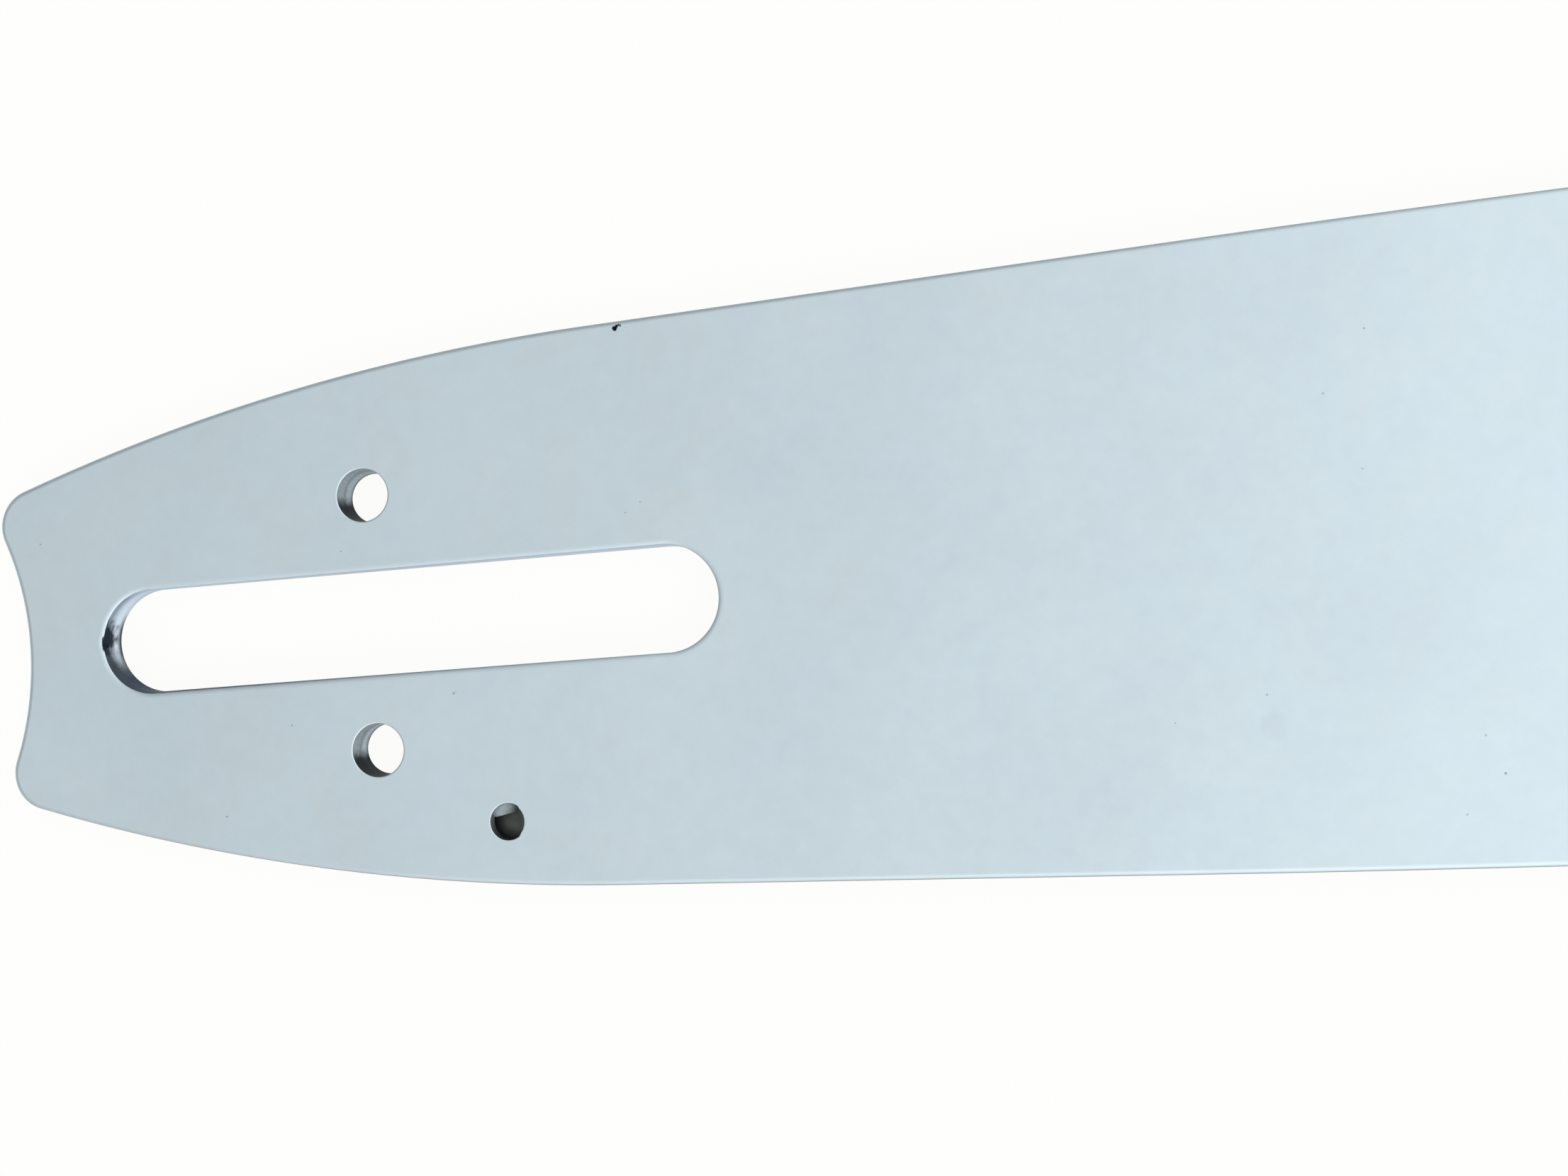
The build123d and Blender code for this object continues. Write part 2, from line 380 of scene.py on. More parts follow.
def nick_slot_end(bm, depth=0.2, half_width=1.2, sharpness=1.3):
    for vert in bm.verts:
        off_middle = abs(vert.co.y) / half_width
        if -38.5 < vert.co.x < -35.5 and vert.co.z > above_joint and off_middle < 1:
            vert.co.x -= depth * (1 - off_middle) ** sharpness


def press_oil_rim(bm, depth=0.2, start=1.2, ease=0.4, reach=2.8):
    for vert in bm.verts:
        off = vert.co.xy - oil_place
        if off.length < reach and off.x > start and vert.co.z > above_joint:
            vert.co.x -= depth * min(1, (off.x - start) / ease)


upper_bm = side_plate(leaning_slot, pin_holes)
nick_slot_end(upper_bm)
press_oil_rim(upper_bm)
upper_plate = finish_piece(upper_bm, "upper_side_plate_punched", "bar", "satin_steel_face", "upper_side_plate")
lower_bm = side_plate(stud_slot, far_pin_holes)
half_turn = Matrix.Rotation(math.pi, 3, "X")
bmesh.ops.rotate(lower_bm, verts=lower_bm.verts, cent=(0, 0, thickness / 2), matrix=half_turn)
lower_plate = finish_piece(lower_bm, "lower_side_plate_punched", "bar", "satin_steel_face", "lower_side_plate")

# %% [markdown]
# ## Core plate
# The core is smaller than the side plates along the rails, so that its edge is the floor of the chain groove. Only
# that edge and the walls of its holes are ever seen, and a strip of its face through the oil hole.

# %% Core plate
def core():
    bm = bmesh.new()
    rings = [(0, plate), (0, inner_height)]
    walls = [(core_outline, 0), (stud_slot, 1)] + [(hole, 2) for hole in pin_holes]
    lows, highs = [], []
    for draw, slot in walls:
        low, high, faces = skin(bm, draw, rings)
        lows.append(low)
        highs.append(high)
        for face in faces:
            face.material_index = slot
    close_face(bm, highs, 1)
    close_face(bm, lows, -1)
    return bm


core_plate = finish_piece(core(), "core_plate_cut", "bar", "mill_steel_core", "core_plate")

# %% [markdown]
# ## Nose sprocket
# The sprocket is stamped from plate, so its teeth have square flanks with slightly broken edges. One half of a
# gullet is drawn as an arc, a flank, a round tip corner and the tip itself. Its mirror image and ten turned copies
# make the whole ring, which is skinned like the plates.

# %% Sprocket teeth by mirror and copies
teeth = 11
gullet = Vector((29.2, 0.0))
gullet_radius = 5.2
flank_lean = math.radians(35)
tip_round = 0.6
bore_radius = 11.53
side_gap = 0.06


def tooth_ring(bm, inset, z):
    drawn_before = set(bm.edges)
    along = Vector((math.cos(flank_lean), math.sin(flank_lean)))
    outwards = Vector((-math.sin(flank_lean), math.cos(flank_lean)))
    inner = gullet + outwards * (gullet_radius + tip_round)
    reach = math.sqrt((sprocket_radius - tip_round) ** 2 - inner.dot(outwards) ** 2) - inner.dot(along)
    tip_corner = inner + along * reach
    tip_bearing = bearing(Vector((0, 0)), tip_corner)
    vert = bmesh.ops.create_vert(bm, co=(gullet.x - gullet_radius - inset, 0, z))["vert"][0]
    vert = sweep(bm, vert, gullet, flank_lean - math.pi / 2, 14)
    vert = straight(bm, vert, along * reach)
    vert = sweep(bm, vert, tip_corner, tip_bearing + math.pi / 2 - flank_lean, 8)
    sweep(bm, vert, Vector((0, 0)), math.pi / teeth - tip_bearing, 4)
    pitch = mirrored(bm, drawn_before)
    verts = {vert for edge in pitch for vert in edge.verts}
    bmesh.ops.spin(bm, geom=list(verts) + pitch, cent=(0, 0, z), axis=(0, 0, 1), angle=math.tau * (teeth - 1) / teeth,
                   steps=teeth - 1, use_duplicate=True)
    ring = [edge for edge in bm.edges if edge not in drawn_before]
    bmesh.ops.remove_doubles(bm, verts=list({vert for edge in ring for vert in edge.verts}), dist=0.01)
    return [edge for edge in bm.edges if edge not in drawn_before]


def broken_edges(low_z, high_z, bevel):
    return [(bevel, low_z), (0, low_z + bevel), (0, high_z - bevel), (bevel, high_z)]


sprocket_bm = bmesh.new()
sides = broken_edges(plate + side_gap, inner_height - side_gap, bevel=0.12)
rings = [skin(sprocket_bm, draw, sides) for draw in (tooth_ring, round_hole(0, 0, bore_radius, segments=160))]
close_face(sprocket_bm, [high for low, high, faces in rings], 1)
close_face(sprocket_bm, [low for low, high, faces in rings], -1)
bmesh.ops.translate(sprocket_bm, verts=sprocket_bm.verts, vec=(nose.x, nose.y, 0))
sprocket = finish_piece(sprocket_bm, "nose_sprocket_stamped", "sprocket", "hardened_sprocket_steel", "nose_sprocket")

# %% [markdown]
# ## Nose rivets
# Four countersunk rivets hold the side plates and the bearing's race together. They are pressed, then ground flush,
# so all that shows is a round head with a fine ring about it. Half a section spun through a full turn makes one.

# %% Rivets by a full spin
def rivet(bm, x, y, shank=1.6, head=2.15, sunk=0.05, cone=0.61, rim_z=0.06, rim_r=0.07):
    low, high = sunk, thickness - sunk
    section = [(0, low), (head - rim_r, low), (head, low + rim_z), (shank, low + cone), (shank, high - cone),
               (head, high - rim_z), (head - rim_r, high), (0, high)]
    verts = [bmesh.ops.create_vert(bm, co=(x + r, y, z))["vert"][0] for r, z in section]
    edges = [bmesh.ops.contextual_create(bm, geom=pair)["edges"][0] for pair in zip(verts, verts[1:])]
    bmesh.ops.spin(bm, geom=verts + edges, cent=(x, y, 0), axis=(0, 0, 1), angle=math.tau, steps=48, use_merge=True)


rivets_bm = bmesh.new()
for x, y in rivet_places:
    rivet(rivets_bm, x, y)
bmesh.ops.remove_doubles(rivets_bm, verts=rivets_bm.verts, dist=0.001)
rivets = finish_piece(rivets_bm, "nose_rivets_ground_flush", "bar", "rivet_steel", "nose_rivets")

# %% [markdown]
# ## Satin steel
# The plates are cold rolled steel, tumbled and then plated with a thin bluish white coat. That gives the eye an
# even satin face that blurs what it mirrors, with very soft clouds in its tone and hue and a grain too fine to
# count. Each pattern's scale is one over its size, and the object's coordinates are in metres. The finest one would
# be a few hundredths of a millimetre, and is drawn as coarse as a quarter of one so that it shows.

# %% A metal, and the satin steel's tone
def metal(name, roughness, glancing="#ffffff"):
    """A new metal, with its tree, its shader and the object's own coordinates."""
    material = bpy.data.materials.new(name)
    material.use_nodes = True
    tree = material.node_tree
    shader = tree.nodes["Principled BSDF"]
    shader.inputs["Metallic"].default_value = 1.0
    shader.inputs["Roughness"].default_value = roughness
    shader.inputs["Specular Tint"].default_value = linear(glancing)
    return material, tree, shader, add_node(tree, "ShaderNodeTexCoord").outputs["Object"]


def per_metre(size_mm):
    return 1000 / size_mm


def in_sizes(point, sizes):
    """A point, or a scale, counted in an oval's own sizes instead of metres."""
    return tuple(along / size for along, size in zip(point, sizes))


satin, tree, shader, where = metal("satin_steel_tumbled_and_plated", 0.4)
clouds = add_node(tree, "ShaderNodeTexNoise", {"Vector": where, "Scale": per_metre(22), "Detail": 2.0})
mottle = add_node(tree, "ShaderNodeTexNoise", {"Vector": where, "Scale": per_metre(2.5), "Detail": 4.0,
                                               "Roughness": 0.7})
grain = add_node(tree, "ShaderNodeTexNoise", {"Vector": where, "Scale": per_metre(0.25), "Detail": 2.0})
hue = add_node(tree, "ShaderNodeTexNoise", {"Vector": where, "Scale": per_metre(7), "Detail": 2.0})
both = add_node(tree, "ShaderNodeMath", {0: clouds.outputs[0], 1: mottle.outputs[0]}, operation="ADD")
tone = add_node(tree, "ShaderNodeMapRange", {"Value": both.outputs[0], "From Min": 0.6, "From Max": 1.4})
dull = add_node(tree, "ShaderNodeMix", {0: hue.outputs[0], 6: linear("#c3d0d5"), 7: linear("#c0cfd9")},
                data_type="RGBA")
clear = add_node(tree, "ShaderNodeMix", {0: hue.outputs[0], 6: linear("#cbd9dd"), 7: linear("#c8d8e1")},
                 data_type="RGBA")
steel = add_node(tree, "ShaderNodeMix", {0: tone.outputs[0], 6: dull.outputs[2], 7: clear.outputs[2]},
                 data_type="RGBA")
gloss = add_node(tree, "ShaderNodeMapRange", {"Value": mottle.outputs[0], "To Min": 0.37, "To Max": 0.43})
bumps = add_node(tree, "ShaderNodeBump", {"Height": grain.outputs[0], "Strength": 0.1, "Distance": 0.00002})
tree.links.new(gloss.outputs[0], shader.inputs["Roughness"])
tree.links.new(bumps.outputs[0], shader.inputs["Normal"])
print("satin steel: clouds 22 mm, hue 7 mm, mottle 2.5 mm, grain 0.25 mm")

# %% [markdown]
# ## Marks on the face
# The face has a few specks of dirt, and soot along the nick in the slot's rim. Each is a small dark disc, told from
# the steel by its distance to a point on the upper face. The coordinates are shaken a little first, so that no edge
# is a true circle. The soot is an oval, so it measures its distance in stretched coordinates. Each speck is listed
# by its place and radius in millimetres and by its strength.

# %% Specks of dirt and soot
specks = [(27.52, 30.95, 0.31, 1.0), (27.75, 31.18, 0.20, 1.0), (27.98, 31.30, 0.13, 0.95),
          (28.17, 31.26, 0.12, 0.85), (28.22, 31.12, 0.08, 0.7), (-6.75, 8.44, 0.10, 0.4),
          (-44.40, 12.42, 0.10, 0.45), (-14.03, -11.16, 0.12, 0.4), (29.09, 11.07, 0.10, 0.35),
          (27.29, 10.02, 0.10, 0.35), (-22.75, -21.21, 0.12, 0.4), (95.70, -15.34, 0.11, 0.4),
          (85.98, -17.69, 0.10, 0.35), (117.44, -21.07, 0.13, 0.3), (119.06, -25.15, 0.14, 0.5),
          (114.90, -29.16, 0.12, 0.3), (108.85, 22.57, 0.12, 0.35), (104.09, 16.07, 0.12, 0.35),
          (5.74, -8.86, 0.16, 0.35), (6.0, -8.7, 0.1, 0.2), (107.46, 7.74, 0.12, 0.3), (96.29, -18.76, 1.6, 0.04)]
shake = add_node(tree, "ShaderNodeTexNoise", {"Vector": where, "Scale": per_metre(0.3), "Detail": 1.0})
centred = add_node(tree, "ShaderNodeVectorMath", {0: shake.outputs["Color"], 1: (0.5, 0.5, 0.5)},
                   operation="SUBTRACT")
small = add_node(tree, "ShaderNodeVectorMath", {0: centred.outputs[0], "Scale": 0.00012}, operation="SCALE")
shaken = add_node(tree, "ShaderNodeVectorMath", {0: where, 1: small.outputs[0]}, operation="ADD")
rim_soot = (0.0002, 0.0009, 0.001)
stretched = add_node(tree, "ShaderNodeVectorMath", {0: shaken.outputs[0], 1: in_sizes((1, 1, 1), rim_soot)},
                     operation="MULTIPLY")
soot_point = in_sizes((-0.0371, 0.0, 0.0046), rim_soot)
soot_reach = add_node(tree, "ShaderNodeVectorMath", {0: stretched.outputs[0], 1: soot_point}, operation="DISTANCE")
dirt = add_node(tree, "ShaderNodeMapRange", {"Value": soot_reach.outputs["Value"], "From Min": 1.1, "From Max": 0.8,
                                             "To Max": 0.9})
for x, y, radius, strength in specks:
    point = (x / 1000, y / 1000, thickness / 1000)
    apart = add_node(tree, "ShaderNodeVectorMath", {0: shaken.outputs[0], 1: point}, operation="DISTANCE")
    spot = add_node(tree, "ShaderNodeMapRange", {"Value": apart.outputs["Value"], "From Min": radius * 0.00115,
                                                 "From Max": radius * 0.00075, "To Max": strength})
    dirt = add_node(tree, "ShaderNodeMath", {0: dirt.outputs[0], 1: spot.outputs[0]}, operation="MAXIMUM")
soiled = add_node(tree, "ShaderNodeMix", {0: dirt.outputs[0], 6: steel.outputs[2], 7: linear("#14181d")},
                  data_type="RGBA")
tree.links.new(soiled.outputs[2], shader.inputs["Base Color"])
print("specks on the face:", len(specks))

# %% [markdown]
# ## Walls of the slot
# The slot's wall carries painted light and shade at its tail end: a painted highlight on the side that faces down
# the picture and deepest inside, and painted shade, blotchy like oil, on the side that faces up it, less so towards
# the nose. The wall's own normal tells the sides apart. Dull steel has lost the bright sheen that clean metal shows
# at a glancing angle, so its glancing tint is grey. Soot lies below the nick, and the far rim carries a painted dark
# line of shade.

# %% Slot wall steel with painted highlight and painted shade
slot_wall, tree, shader, where = metal("punched_steel_slot_wall", 0.42, glancing="#b6bec8")
facing = add_node(tree, "ShaderNodeNewGeometry")
turned = add_node(tree, "ShaderNodeSeparateXYZ", {0: facing.outputs["Normal"]})
depth = add_node(tree, "ShaderNodeSeparateXYZ", {0: where})
blotch = add_node(tree, "ShaderNodeTexNoise", {"Vector": where, "Scale": per_metre(1.2), "Detail": 3.0,
                                               "Roughness": 0.6})
# Painted highlight: the wall is paler deep inside and on the side that faces down the picture.
painted_deep_highlight = add_node(tree, "ShaderNodeMapRange", {"Value": depth.outputs["Z"], "From Min": 0.0036, "From Max": 0.0017},
                  interpolation_type="SMOOTHSTEP")
sheen = add_node(tree, "ShaderNodeMapRange", {"Value": turned.outputs["Y"], "From Min": -0.84, "From Max": -1.0,
                                              "To Max": 0.8})
painted_highlight = add_node(tree, "ShaderNodeMath", {0: painted_deep_highlight.outputs[0], 1: sheen.outputs[0]}, operation="MAXIMUM")
painted_highlight_colour = add_node(tree, "ShaderNodeMix", {0: painted_highlight.outputs[0], 6: linear("#aab8c5"), 7: linear("#e2eefa")},
                data_type="RGBA")
# Painted shade: the side that faces up the picture is dark and blotchy, less so deep inside and towards the nose.
painted_shade_tone = add_node(tree, "ShaderNodeMix", {0: blotch.outputs[0], 6: linear("#3a4147"), 7: linear("#5b6066")},
               data_type="RGBA")
side = add_node(tree, "ShaderNodeMath", {0: blotch.outputs[0], 1: 0.35, 2: turned.outputs["Y"]},
                operation="MULTIPLY_ADD")
shade_less_highlight = add_node(tree, "ShaderNodeMath", {0: painted_deep_highlight.outputs[0], 1: -0.28, 2: side.outputs[0]},
                 operation="MULTIPLY_ADD")
shade_towards_tail = add_node(tree, "ShaderNodeMapRange", {"Value": depth.outputs["X"], "From Min": -0.022, "From Max": -0.004,
                                             "To Min": 1.0, "To Max": 0.55})
painted_shade = add_node(tree, "ShaderNodeMapRange", {"Value": shade_less_highlight.outputs[0], "From Min": -0.18, "From Max": 0.58,
                                             "To Max": shade_towards_tail.outputs[0]}, interpolation_type="SMOOTHSTEP")
painted_light_and_shade = add_node(tree, "ShaderNodeMix", {0: painted_shade.outputs[0], 6: painted_highlight_colour.outputs[2], 7: painted_shade_tone.outputs[2]}, data_type="RGBA")

# %% Soot below the nick, and the painted shade at the far rim
smut = add_node(tree, "ShaderNodeTexNoise", {"Vector": where, "Scale": per_metre(0.9), "Detail": 3.0,
                                             "Roughness": 0.6})
wall_soot = (0.004, 0.0024, 0.0036)
spread = add_node(tree, "ShaderNodeVectorMath", {0: where, 1: in_sizes((1, 1, 1), wall_soot)}, operation="MULTIPLY")
soot_point = in_sizes((-0.037, 0.0006, 0.0044), wall_soot)
reach = add_node(tree, "ShaderNodeVectorMath", {0: spread.outputs[0], 1: soot_point}, operation="DISTANCE")
ragged = add_node(tree, "ShaderNodeMath", {0: smut.outputs[0], 1: 1.1, 2: reach.outputs["Value"]},
                  operation="MULTIPLY_ADD")
soot = add_node(tree, "ShaderNodeMapRange", {"Value": ragged.outputs[0], "From Min": 1.65, "From Max": 1.05,
                                             "To Max": 0.95}, interpolation_type="SMOOTHSTEP")
sooty = add_node(tree, "ShaderNodeMix", {0: soot.outputs[0], 6: painted_light_and_shade.outputs[2], 7: linear("#1a2125")},
                 data_type="RGBA")
# Painted shade: a dark line along the far rim, strongest at the slot's tail end.
below = add_node(tree, "ShaderNodeVectorMath", {0: where, 1: (-0.037, 0.0003, 0.0003)}, operation="DISTANCE")
close_by = add_node(tree, "ShaderNodeMapRange", {"Value": below.outputs["Value"], "From Min": 0.0036,
                                                 "From Max": 0.0015, "To Min": 0.15, "To Max": 0.92})
low_edge = add_node(tree, "ShaderNodeMapRange", {"Value": depth.outputs["Z"], "From Min": 0.0013, "From Max": 0.0005})
painted_rim_shade = add_node(tree, "ShaderNodeMath", {0: low_edge.outputs[0], 1: close_by.outputs[0]}, operation="MULTIPLY")
with_painted_rim_shade = add_node(tree, "ShaderNodeMix", {0: painted_rim_shade.outputs[0], 6: sooty.outputs[2], 7: linear("#2c3236")},
                  data_type="RGBA")
tree.links.new(with_painted_rim_shade.outputs[2], shader.inputs["Base Color"])
print("slot wall nodes:", len(tree.nodes))

# %% [markdown]
# ## Walls of the round holes
# The pin holes and the oil hole were punched and left as they were. Their walls carry fine upright streaks, a dark
# line where the laminations meet, a painted highlight band below it, stronger in one of them, and painted shade on
# the side that faces up the picture. The oil hole's wall carries a painted highlight, found by its distance to the
# hole, least on the side that faces up the picture. The streaks are a noise that is stretched along the hole.

# %% Punched steel of the hole walls
hole_wall, tree, shader, where = metal("punched_steel_hole_wall", 0.45, glancing="#bcbcbc")
facing = add_node(tree, "ShaderNodeNewGeometry")
turned = add_node(tree, "ShaderNodeSeparateXYZ", {0: facing.outputs["Normal"]})
depth = add_node(tree, "ShaderNodeSeparateXYZ", {0: where})
upright = add_node(tree, "ShaderNodeMapping", {"Vector": where, "Scale": (1, 1, 0.25)})
streaks = add_node(tree, "ShaderNodeTexNoise", {"Vector": upright.outputs[0], "Scale": per_metre(0.3), "Detail": 4.0,
                                                "Roughness": 0.65})
blotch = add_node(tree, "ShaderNodeTexNoise", {"Vector": where, "Scale": per_metre(1.0), "Detail": 2.0})
cut = add_node(tree, "ShaderNodeMix", {0: streaks.outputs[0], 6: linear("#8b98a0"), 7: linear("#c3d1d9")},
               data_type="RGBA")
waver = add_node(tree, "ShaderNodeMath", {0: blotch.outputs[0], 1: 0.0006, 2: depth.outputs["Z"]},
                 operation="MULTIPLY_ADD")
off_joint = add_node(tree, "ShaderNodeMath", {0: waver.outputs[0], 1: 0.0028}, operation="SUBTRACT")
from_joint = add_node(tree, "ShaderNodeMath", {0: off_joint.outputs[0]}, operation="ABSOLUTE")
joint = add_node(tree, "ShaderNodeMapRange", {"Value": from_joint.outputs[0], "From Min": 0.0006, "From Max": 0.0,
                                              "To Max": 0.45}, interpolation_type="SMOOTHSTEP")
jointed = add_node(tree, "ShaderNodeMix", {0: joint.outputs[0], 6: cut.outputs[2], 7: linear("#66727a")},
                   data_type="RGBA")

# %% Painted highlight band, painted shade and painted dark far rim of the hole walls
# Painted highlight: a paler band low in the wall, stronger in the hole at negative Y.
off_band = add_node(tree, "ShaderNodeMath", {0: depth.outputs["Z"], 1: 0.0014}, operation="SUBTRACT")
from_band = add_node(tree, "ShaderNodeMath", {0: off_band.outputs[0]}, operation="ABSOLUTE")
band_strength_by_hole = add_node(tree, "ShaderNodeMapRange", {"Value": depth.outputs["Y"], "From Min": 0.01, "From Max": -0.01,
                                               "To Min": 0.15, "To Max": 0.65})
painted_band = add_node(tree, "ShaderNodeMapRange", {"Value": from_band.outputs[0], "From Min": 0.0007, "From Max": 0.0,
                                             "To Max": band_strength_by_hole.outputs[0]}, interpolation_type="SMOOTHSTEP")
with_painted_band = add_node(tree, "ShaderNodeMix", {0: painted_band.outputs[0], 6: jointed.outputs[2], 7: linear("#c6d4dc")},
                 data_type="RGBA")
# Painted shade: the side that faces up the picture is dark and blotchy.
side = add_node(tree, "ShaderNodeMath", {0: blotch.outputs[0], 1: 0.3, 2: turned.outputs["Y"]},
                operation="MULTIPLY_ADD")
painted_shade = add_node(tree, "ShaderNodeMapRange", {"Value": side.outputs[0], "From Min": 0.0, "From Max": 0.5,
                                             "To Max": 0.95}, interpolation_type="SMOOTHSTEP")
with_painted_shade = add_node(tree, "ShaderNodeMix", {0: painted_shade.outputs[0], 6: with_painted_band.outputs[2], 7: linear("#1f2528")},
                 data_type="RGBA")
# Painted highlight: the oil hole's wall is pale near its upper rim, less on the side that faces up the picture.
oil_wall = (*(oil_place / 1000), 0.0039)
to_oil = add_node(tree, "ShaderNodeVectorMath", {0: where, 1: oil_wall}, operation="DISTANCE")
to_rim = add_node(tree, "ShaderNodeMapRange", {"Value": depth.outputs["Z"], "From Min": 0.0034, "From Max": 0.0042,
                                               "To Min": 0.75, "To Max": 0.95})
painted_light_near_oil_hole = add_node(tree, "ShaderNodeMapRange", {"Value": to_oil.outputs["Value"], "From Min": 0.004, "From Max": 0.003,
                                               "To Max": to_rim.outputs[0]})
painted_light_facing = add_node(tree, "ShaderNodeMapRange", {"Value": turned.outputs["Y"], "From Min": 0.1, "From Max": 0.8,
                                                "To Min": 1.0, "To Max": 0.25})
painted_oil_hole_light = add_node(tree, "ShaderNodeMath", {0: painted_light_near_oil_hole.outputs[0], 1: painted_light_facing.outputs[0]}, operation="MULTIPLY")
with_oil_hole_light = add_node(tree, "ShaderNodeMix", {0: painted_oil_hole_light.outputs[0], 6: with_painted_shade.outputs[2], 7: linear("#f2f6f8")},
                       data_type="RGBA")
# Painted shade: a dark line along the far rim.
painted_rim_shade = add_node(tree, "ShaderNodeMapRange", {"Value": depth.outputs["Z"], "From Min": 0.0008, "From Max": 0.0003,
                                                "To Max": 0.5})
with_painted_rim_shade = add_node(tree, "ShaderNodeMix", {0: painted_rim_shade.outputs[0], 6: with_oil_hole_light.outputs[2], 7: linear("#2c3338")},
                  data_type="RGBA")
bumps = add_node(tree, "ShaderNodeBump", {"Height": streaks.outputs[0], "Strength": 0.3, "Distance": 0.00003})
tree.links.new(with_painted_rim_shade.outputs[2], shader.inputs["Base Color"])
tree.links.new(bumps.outputs[0], shader.inputs["Normal"])
print("hole wall nodes:", len(tree.nodes))

# %% [markdown]
# ## Rails and groove sides
# The rails are ground along their length and left bare, so they are greyer than the plated face and carry fine
# lines that run with the bar. The inner faces of the plates lie in old oil, which stains them patchy; their dark tone
# is partly that oil and partly painted shade, with a painted patch of light below the oil hole.

# %% Ground rail, and oiled groove side with painted shade and painted light
rail, tree, shader, where = metal("ground_steel_rail", 0.36)
lengthwise = add_node(tree, "ShaderNodeMapping", {"Vector": where, "Scale": (0.05, 0.05, 1)})
lines = add_node(tree, "ShaderNodeTexNoise", {"Vector": lengthwise.outputs[0], "Scale": per_metre(0.15),
                                              "Detail": 3.0, "Roughness": 0.6})
ground = add_node(tree, "ShaderNodeMix", {0: lines.outputs[0], 6: linear("#83898d"), 7: linear("#a9b0b4")},
                  data_type="RGBA")
bumps = add_node(tree, "ShaderNodeBump", {"Height": lines.outputs[0], "Strength": 0.3, "Distance": 0.00002})
tree.links.new(ground.outputs[2], shader.inputs["Base Color"])
tree.links.new(bumps.outputs[0], shader.inputs["Normal"])

oiled_and_shaded, tree, shader, where = metal("oiled_steel_groove_side_with_painted_shade", 0.5, glancing="#bcbcbc")
# The dark tone is partly old oil and partly painted shade.
film = add_node(tree, "ShaderNodeTexNoise", {"Vector": where, "Scale": per_metre(1.5), "Detail": 3.0,
                                             "Roughness": 0.6})
tint = add_node(tree, "ShaderNodeMix", {0: film.outputs[0], 6: linear("#363b39"), 7: linear("#70756f")},
                data_type="RGBA")
# Painted light: a paler patch below the oil hole, with painted shade round it.
to_oil = add_node(tree, "ShaderNodeVectorMath", {0: where, 1: (0.0107, -0.0237, 0.00155)}, operation="DISTANCE")
painted_shade_round_light = add_node(tree, "ShaderNodeMapRange", {"Value": to_oil.outputs["Value"], "From Min": 0.001,
                                               "From Max": 0.0026}, interpolation_type="SMOOTHSTEP")
with_painted_light_pool = add_node(tree, "ShaderNodeMix", {0: painted_shade_round_light.outputs[0], 6: tint.outputs[2], 7: linear("#333b40")},
                  data_type="RGBA")
tree.links.new(with_painted_light_pool.outputs[2], shader.inputs["Base Color"])
for piece in (upper_plate, lower_plate):
    for material in (satin, rail, slot_wall, hole_wall, oiled_and_shaded):
        piece.data.materials.append(material)
print("finishes on a side plate:", [material.name for material in upper_plate.data.materials])

# %% [markdown]
# ## Core steel
# The core is mill steel with its rolled skin left on, streaked and mottled. Painted shade darkens it, except for a
# painted patch of light at the oil hole, again found by its distance to a point.

# %% Mill steel of the core
mill, tree, shader, where = metal("mill_steel_core_cut", 0.5, glancing="#bcbcbc")
rolled = add_node(tree, "ShaderNodeMapping", {"Vector": where, "Scale": (0.5, 1, 1)})
skin_marks = add_node(tree, "ShaderNodeTexNoise", {"Vector": rolled.outputs[0], "Scale": per_metre(0.6),
                                                   "Detail": 4.0, "Roughness": 0.65})
bare = add_node(tree, "ShaderNodeMix", {0: skin_marks.outputs[0], 6: linear("#525e63"), 7: linear("#d3e0e6")},
                data_type="RGBA")
# Painted light: a paler patch at the oil hole; painted shade darkens the rest.
apart = add_node(tree, "ShaderNodeVectorMath", {0: where, 1: (0.0098, -0.0222, 0.0032)}, operation="DISTANCE")
painted_shade_off_patch = add_node(tree, "ShaderNodeMapRange", {"Value": apart.outputs["Value"], "From Min": 0.0004,
                                                "From Max": 0.0022}, interpolation_type="SMOOTHSTEP")
tint = add_node(tree, "ShaderNodeMix", {0: painted_shade_off_patch.outputs[0], 6: bare.outputs[2], 7: linear("#30383b")},
                data_type="RGBA")
bumps = add_node(tree, "ShaderNodeBump", {"Height": skin_marks.outputs[0], "Strength": 0.3, "Distance": 0.00003})
tree.links.new(tint.outputs[2], shader.inputs["Base Color"])
tree.links.new(bumps.outputs[0], shader.inputs["Normal"])
for material in (mill, slot_wall, hole_wall):
    core_plate.data.materials.append(material)
print("finishes on the core:", [material.name for material in core_plate.data.materials])

# %% [markdown]
# ## Steels of the nose
# The sprocket is hardened and tempered, which leaves a darker, warmer grey with cloudy patches. The race and the
# rollers are ground bearing steel, smooth and bright. They lie between the plates and keep their CAD shapes. The
# rivet heads are ground in one pass along the bar, so their scratches run with it.

# %% Hardened, bearing and rivet steel
hardened, tree, shader, where = metal("hardened_steel_stamped", 0.38)
temper = add_node(tree, "ShaderNodeTexNoise", {"Vector": where, "Scale": per_metre(1.5), "Detail": 4.0,
                                               "Roughness": 0.6})
tint = add_node(tree, "ShaderNodeMix", {0: temper.outputs[0], 6: linear("#7f7d7a"), 7: linear("#a5a4a0")},
                data_type="RGBA")
gloss = add_node(tree, "ShaderNodeMapRange", {"Value": temper.outputs[0], "To Min": 0.3, "To Max": 0.46})
tree.links.new(tint.outputs[2], shader.inputs["Base Color"])
tree.links.new(gloss.outputs[0], shader.inputs["Roughness"])
sprocket.data.materials.append(hardened)

